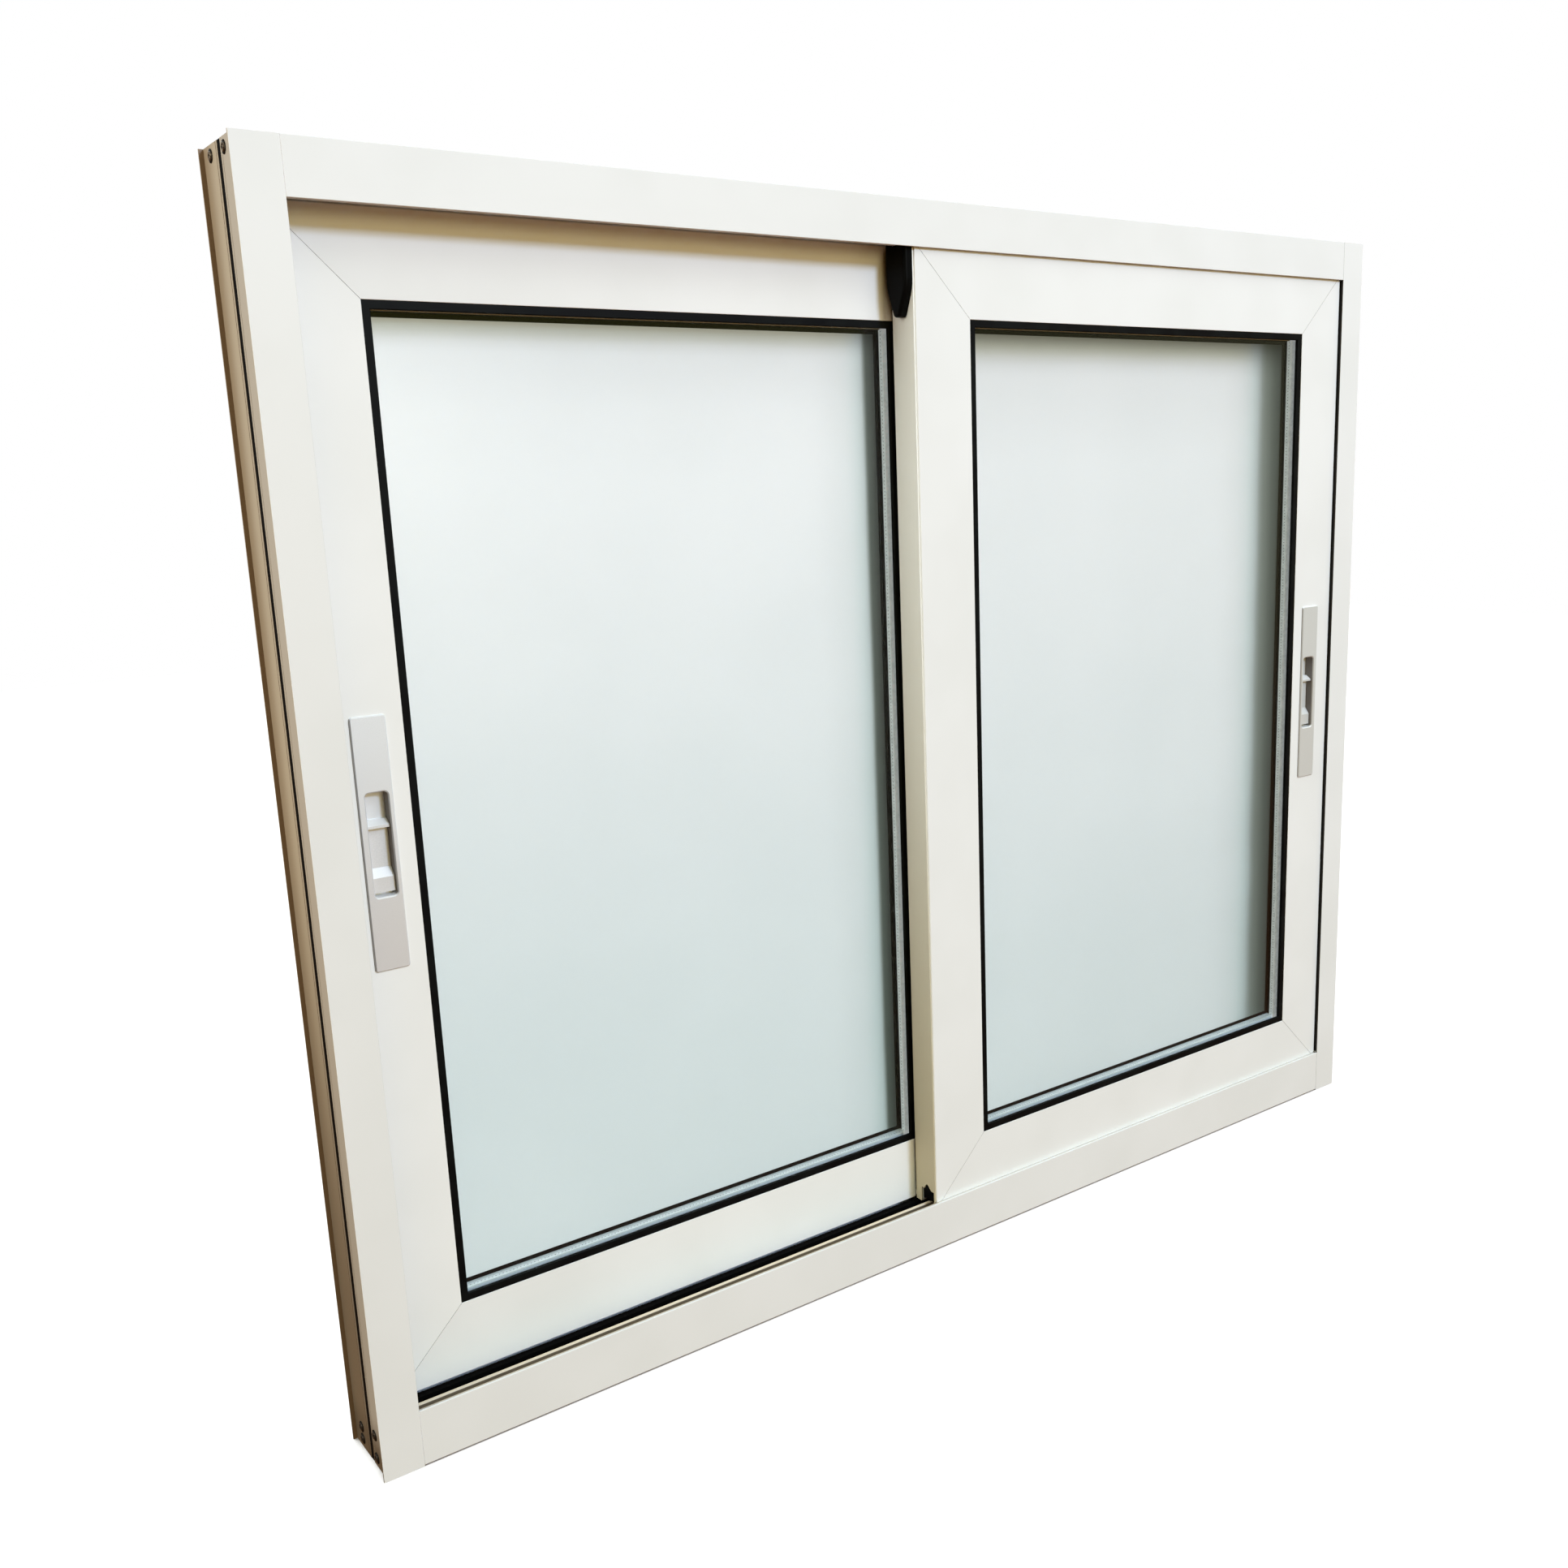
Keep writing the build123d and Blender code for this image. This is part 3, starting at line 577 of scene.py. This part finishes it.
def screw_steel():
    """Plated screw head gone brown, with worn bright spots, and painted shade on it near the foot of the
    jamb.
    """
    material, maker, surface = new_material("screw_steel")
    place = place_on(maker)
    stain = noise(maker, place, 1.2 * MM, 3.0)
    tint = stain.ramp(0.35, 0.7).blend(colour(0.03, 0.02, 0.012), colour(0.22, 0.17, 0.125))
    tint = place.axes()[2].ramp(LOWER_SHADE_FULL, FOOT_SHADE_TOP).blend(tint, colour(0.03, 0.02, 0.013))
    set_values(surface, Metallic=0.6)
    feed(maker, surface, Base_Color=tint, Roughness=0.35 + 0.2 * stain)
    return material


def screw_hole_shade():
    """Painted shade: black, on the disc in a screw's hole and in the screw's cross recess."""
    material, maker, surface = new_material("screw_hole_shade")
    stain = noise(maker, place_on(maker), 1.0 * MM, 2.0)
    tint = stain.blend(colour(0.004, 0.003, 0.002), colour(0.014, 0.010, 0.006))
    set_values(surface, Specular_IOR_Level=0.1)
    feed(maker, surface, Base_Color=tint, Roughness=0.6 + 0.2 * stain)
    return material


FINISHES = {
    "black_polyamide": black_polyamide,
    "black_rubber": black_rubber,
    "black_nylon": black_nylon,
    "roller_nylon": roller_nylon,
    "satin_silver": satin_silver,
    "black_pile": pile_strip,
    "clear_glass": clear_glass,
}


def dress_nodes():
    """Give every CAD node the finish of its slot; panes, spacers, the frame's bars, the meeting covers and
    the rear sash have their own."""
    made = {slot: make() for slot, make in FINISHES.items()}
    made["white_powder_coat"] = powder_coat("white_powder_coat", SASH_WHITE)
    # The rear sash, and most of all its left stile, are painted paler: painted light
    rear_coat = powder_coat("rear_sash_powder_coat", REAR_SASH_LIT_WHITE)
    stile_coat = powder_coat("rear_stile_powder_coat", REAR_STILE_LIT_WHITE)
    head_coat = powder_coat("head_powder_coat", FRAME_WHITE, None, SEAM_GLOW)
    jamb_coat = powder_coat("jamb_powder_coat", FRAME_WHITE, jamb_side_shade)
    sill_coat = powder_coat("sill_powder_coat", FRAME_WHITE, track_dust_and_shade, SEAM_GLOW)
    cover_coat = powder_coat("cover_powder_coat", SASH_WHITE, cover_light_and_shade)
    for name, node in NODES.items():
        slot = SLOT_OF[name]
        if slot == "satin_glass":
            finish = satin_glass(name)
        elif slot == "spacer_aluminium":
            finish = spacer_metal(name)
        elif name in ("left_jamb_front", "left_jamb_rear", "right_jamb_front", "right_jamb_rear"):
            finish = jamb_coat
        elif name in ("head_front", "head_rear"):
            finish = head_coat
        elif name in ("sill_front", "sill_rear"):
            finish = sill_coat
        elif name.endswith("_meeting_cover"):
            finish = cover_coat
        elif name == "rear_sash_left_stile":
            finish = stile_coat
        elif slot == "white_powder_coat" and name.startswith("rear_sash"):
            finish = rear_coat
        else:
            finish = made[slot]
        for holder in node.material_slots:
            holder.material = finish


def screw_mesh():
    """Pan-head screw with a cross recess, on a thin black disc that is painted shade in its hole; its axis
    is +Z and its seat at 0.
    """
    shape = bmesh.new()
    profile = [(HOLE_SHADE, 0.0), (HOLE_SHADE, HOLE_SHADE_THICK), (SCREW_HEAD, HOLE_SHADE_THICK)]
    neck = HOLE_SHADE_THICK + SCREW_NECK * (SCREW_DOME - HOLE_SHADE_THICK)
    profile.append((SCREW_HEAD, neck))
    for i in range(1, DOME_STEPS + 1):
        turn = math.pi / 2 * i / DOME_STEPS
        profile.append((SCREW_HEAD * math.cos(turn), neck + (SCREW_DOME - neck) * math.sin(turn)))
    edges = [shape.verts.new((r, 0.0, z)) for r, z in profile]
    for a, b in zip(edges, edges[1:]):
        shape.edges.new((a, b))
    bmesh.ops.spin(shape, geom=shape.verts[:] + shape.edges[:], cent=(0, 0, 0), axis=(0, 0, 1),
                   angle=2 * math.pi, steps=SCREW_SIDES)
    bmesh.ops.remove_doubles(shape, verts=shape.verts, dist=WELD)
    for vert in shape.verts:
        across = min(abs(vert.co.x), abs(vert.co.y))
        along = max(abs(vert.co.x), abs(vert.co.y))
        if across < SCREW_CROSS and along < SCREW_CROSS_LONG and vert.co.z > neck:
            vert.co.z -= SCREW_CROSS_DEEP
    bmesh.ops.recalc_face_normals(shape, faces=shape.faces)
    # The disc and the cross recess take the second finish: painted shade
    for face in shape.faces:
        on_shade_disc = max(vert.co.z for vert in face.verts) < HOLE_SHADE_THICK + WELD
        in_cross = max(abs(vert.co.x) + abs(vert.co.y) for vert in face.verts) < SCREW_CROSS_LONG
        face.material_index = 1 if on_shade_disc or in_cross else 0
    return shape


def screws(name, side, finishes):
    """The six screws in one jamb's web: two at the head and four at the sill."""
    front = cad_box[0][1]
    foot, top = cad_box[0][2], cad_box[1][2]
    web = cad_box[0][0] + FIN if side < 0 else cad_box[1][0] - FIN
    places = [(SCREW_FRONT, top - HEAD_SCREW_DOWN), (SCREW_REAR, top - HEAD_SCREW_DOWN)]
    places += [(SCREW_FRONT, foot + up) for up in SILL_SCREWS_FRONT]
    places += [(SCREW_REAR, foot + up) for up in SILL_SCREWS_REAR]
    mesh = bpy.data.meshes.new(name)
    joined = bmesh.new()
    for i, (depth, height) in enumerate(places):
        one = screw_mesh()
        spin = Matrix.Rotation(FIRST_TURN + NEXT_TURN * i, 4, "Z")
        lay = Matrix.Rotation(side * math.pi / 2, 4, "Y")
        at = Matrix.Translation((web, front + depth, height))
        one.transform(at @ lay @ spin)
        part = bpy.data.meshes.new("screw")
        one.to_mesh(part)
        joined.from_mesh(part)
        one.free()
        bpy.data.meshes.remove(part)
    joined.to_mesh(mesh)
    joined.free()
    for finish in finishes:
        mesh.materials.append(finish)
    for face in mesh.polygons:
        face.use_smooth = True
    piece = bpy.data.objects.new(name, mesh)
    bpy.context.collection.objects.link(piece)
    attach(piece, "root")


def add_camera():
    """Camera at the photograph's place."""
    lens = bpy.data.cameras.new("camera")
    lens.sensor_width = CAMERA_SENSOR
    lens.lens = CAMERA_LENS
    lens.shift_x, lens.shift_y = CAMERA_SHIFT
    lens.clip_start = CAMERA_NEAR
    camera = bpy.data.objects.new("camera", lens)
    camera.location = CAMERA_PLACE
    camera.rotation_euler = [math.radians(a) for a in CAMERA_TURN]
    bpy.context.collection.objects.link(camera)
    bpy.context.scene.camera = camera


def softbox(name, azimuth, elevation, distance, size, power, tint):
    """Square area light aimed at the window; azimuth is to the right of straight in front of it."""
    lamp = bpy.data.lights.new(name, "AREA")
    lamp.shape = "SQUARE"
    lamp.size = size
    lamp.energy = power
    lamp.color = tint
    light = bpy.data.objects.new(name, lamp)
    aim = Vector([(a + b) / 2 for a, b in zip(*cad_box)])
    turn, rise = math.radians(azimuth), math.radians(elevation)
    out = Vector((math.sin(turn) * math.cos(rise), -math.cos(turn) * math.cos(rise), math.sin(rise)))
    light.location = aim + distance * out
    light.rotation_euler = out.to_track_quat("Z", "Y").to_euler()
    bpy.context.collection.objects.link(light)


def add_world():
    """Studio surroundings: pale above, behind and to the right, dim to the left, yellowish in front and
    brown below. The camera sees plain white."""
    world = bpy.data.worlds.new("studio")
    world.use_nodes = True
    bpy.context.scene.world = world
    tree = world.node_tree
    tree.nodes.clear()
    maker = Shade(tree)
    across, depth, up = maker.node("ShaderNodeTexCoord", output="Generated").axes()
    side = across.ramp(-1.0, 1.0).blend(colour(*WORLD_LEFT), colour(*WORLD_RIGHT))
    end = depth.ramp(-0.6, 0.6).blend(colour(*WORLD_FRONT), colour(*WORLD_BACK))
    level = (across * across / (across * across + depth * depth + 0.001)).blend(end, side)
    low = up.ramp(*LEVEL_RISE)
    high = up.ramp(*ABOVE_RISE)
    sky = high.blend(low.blend(colour(*WORLD_BELOW), level), colour(*WORLD_ABOVE))
    through = up.ramp(*BACKDROP_RISE).blend(colour(*BACKDROP_LOW), colour(*BACKDROP_HIGH))
    passing = maker.node("ShaderNodeLightPath", output="Is Transmission Ray")
    light = passing.blend(sky, through)
    studio = maker.node("ShaderNodeBackground", None, {"Color": light, "Strength": 1.0})
    white = maker.node("ShaderNodeBackground", None, {"Color": colour(1, 1, 1), "Strength": 1.0})
    seen = maker.node("ShaderNodeLightPath", output="Is Camera Ray")
    mix = maker.node("ShaderNodeMixShader", None, {0: seen, 1: studio, 2: white})
    output = tree.nodes.new("ShaderNodeOutputWorld")
    tree.links.new(mix.socket, output.inputs["Surface"])


def add_floor():
    """Plain white floor under the jambs' feet, with painted shade only where the frame comes close to it.
    """
    shape = bmesh.new()
    bmesh.ops.create_grid(shape, x_segments=1, y_segments=1, size=FLOOR_REACH)
    mesh = bpy.data.meshes.new("floor")
    shape.to_mesh(mesh)
    shape.free()
    material, maker, surface = new_material("floor")
    open_sky = near_walls(maker, FLOOR_SHADE)
    tint = open_sky.ramp(0.41, 0.57).blend(colour(*FLOOR_SHADE_BROWN), colour(1, 1, 1))
    set_values(surface, Base_Color=colour(0.3, 0.3, 0.3), Roughness=0.9, Specular_IOR_Level=0.0)
    set_values(surface, Emission_Strength=FLOOR_GLOW)
    feed(maker, surface, Emission_Color=tint)
    mesh.materials.append(material)
    floor = bpy.data.objects.new("floor", mesh)
    floor.location = (0, 0, cad_box[0][2])
    floor.visible_diffuse = False
    floor.visible_glossy = False
    floor.visible_transmission = False
    bpy.context.collection.objects.link(floor)


dress_nodes()
screw_finishes = (screw_steel(), screw_hole_shade())
screws("left_jamb_screws", -1, screw_finishes)
screws("right_jamb_screws", 1, screw_finishes)
add_camera()
add_world()
add_floor()
for lamp_name, lamp in LAMPS.items():
    softbox(lamp_name, *lamp)
bpy.context.scene.view_settings.view_transform = "Standard"
